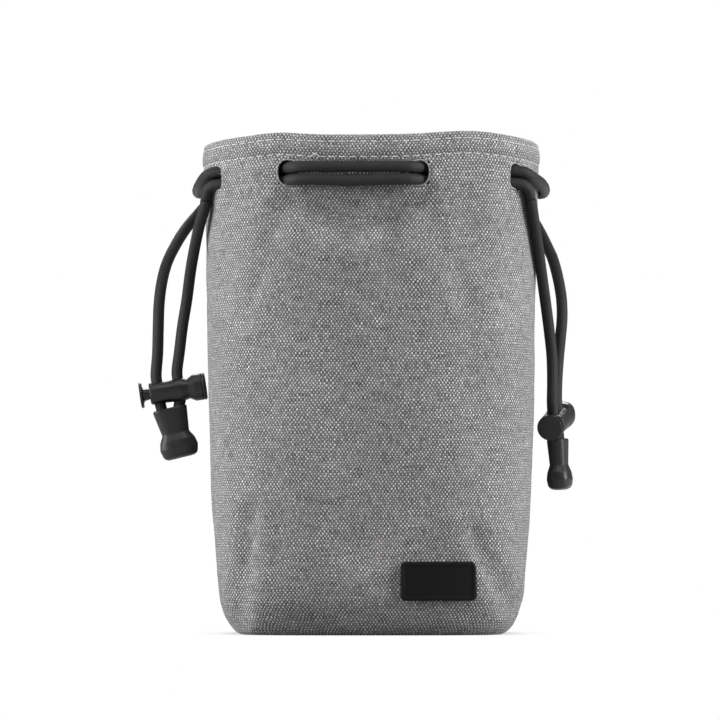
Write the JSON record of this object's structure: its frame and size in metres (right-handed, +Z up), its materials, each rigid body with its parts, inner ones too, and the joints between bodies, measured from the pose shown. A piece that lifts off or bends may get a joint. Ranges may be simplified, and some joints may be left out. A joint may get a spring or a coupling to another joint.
{
  "type": "lens pouch",
  "caption": "Padded cloth pouch, open at the top, that holds a camera lens; drawcords run round its mouth and hang at both sides with push-button cord locks and end clips.",
  "frame": {"origin": "on the floor under the middle of the base, with the cord tassels left out", "axes": "+Z up along the pouch, -Y towards the front with the label, +X to the right seen from the front"},
  "size_m": [0.1581, 0.118, 0.175],
  "materials": {
    "melange_cloth": "matte",
    "foam": "matte",
    "lining_cloth": "matte",
    "label_rubber": "matte",
    "cord": "matte",
    "black_plastic": "satin",
    "spring_steel": "polished"
  },
  "bodies": {
    "pouch": {"outer_front_panel": "melange_cloth", "outer_back_panel": "melange_cloth", "foam_front": "foam", "foam_back": "foam", "lining_front": "lining_cloth", "lining_back": "lining_cloth", "base_panel": "melange_cloth", "base_foam": "foam", "base_lining": "lining_cloth", "label_patch": "label_rubber", "left_drawcord": "cord", "right_drawcord": "cord"},
    "left_tassel": {"left_leg_front": "cord", "left_leg_back": "cord", "left_clip_front": "black_plastic", "left_clip_back": "black_plastic", "left_cord_knot": "cord"},
    "left_lock": {"left_lock_barrel": "black_plastic", "left_lock_end_cap": "black_plastic", "left_lock_spring": "spring_steel"},
    "left_plunger": {"left_lock_plunger": "black_plastic"},
    "right_tassel": {"right_leg_front": "cord", "right_leg_back": "cord", "right_clip_front": "black_plastic", "right_clip_back": "black_plastic", "right_cord_knot": "cord"},
    "right_lock": {"right_lock_barrel": "black_plastic", "right_lock_end_cap": "black_plastic", "right_lock_spring": "spring_steel"},
    "right_plunger": {"right_lock_plunger": "black_plastic"}
  },
  "joints": [
    {"name": "left_tassel_swing", "type": "hinge", "parent": "pouch", "child": "left_tassel", "pos_m": [-0.05734, 0.00358, 0.15625], "axis": [0.0374, 0.9969, 0.0696], "range_deg": [0, 80], "deforming": ["left_leg_front", "left_leg_back"]},
    {"name": "left_lock_slide", "type": "slide", "parent": "left_tassel", "child": "left_lock", "axis": [-0.03, 0.019, 0.9994], "range_m": [0, 0.02]},
    {"name": "left_lock_press", "type": "slide", "parent": "left_lock", "child": "left_plunger", "axis": [0.9893, 0, 0.1461], "range_m": [0, 0.002], "stiffness_N_per_m": 1500, "springref_m": -0.001, "deforming": ["left_lock_spring"]},
    {"name": "right_tassel_swing", "type": "hinge", "parent": "pouch", "child": "right_tassel", "pos_m": [0.05736, -0.00261, 0.154], "axis": [-0.0381, -0.9993, 0], "range_deg": [0, 80], "deforming": ["right_leg_front", "right_leg_back"]},
    {"name": "right_lock_slide", "type": "slide", "parent": "right_tassel", "child": "right_lock", "axis": [0, -0.019, 0.9998], "range_m": [0, 0.02]},
    {"name": "right_lock_press", "type": "slide", "parent": "right_lock", "child": "right_plunger", "axis": [0.2347, 0.9415, 0.2419], "range_m": [0, 0.002], "stiffness_N_per_m": 1500, "springref_m": -0.001, "deforming": ["right_lock_spring"]}
  ]
}
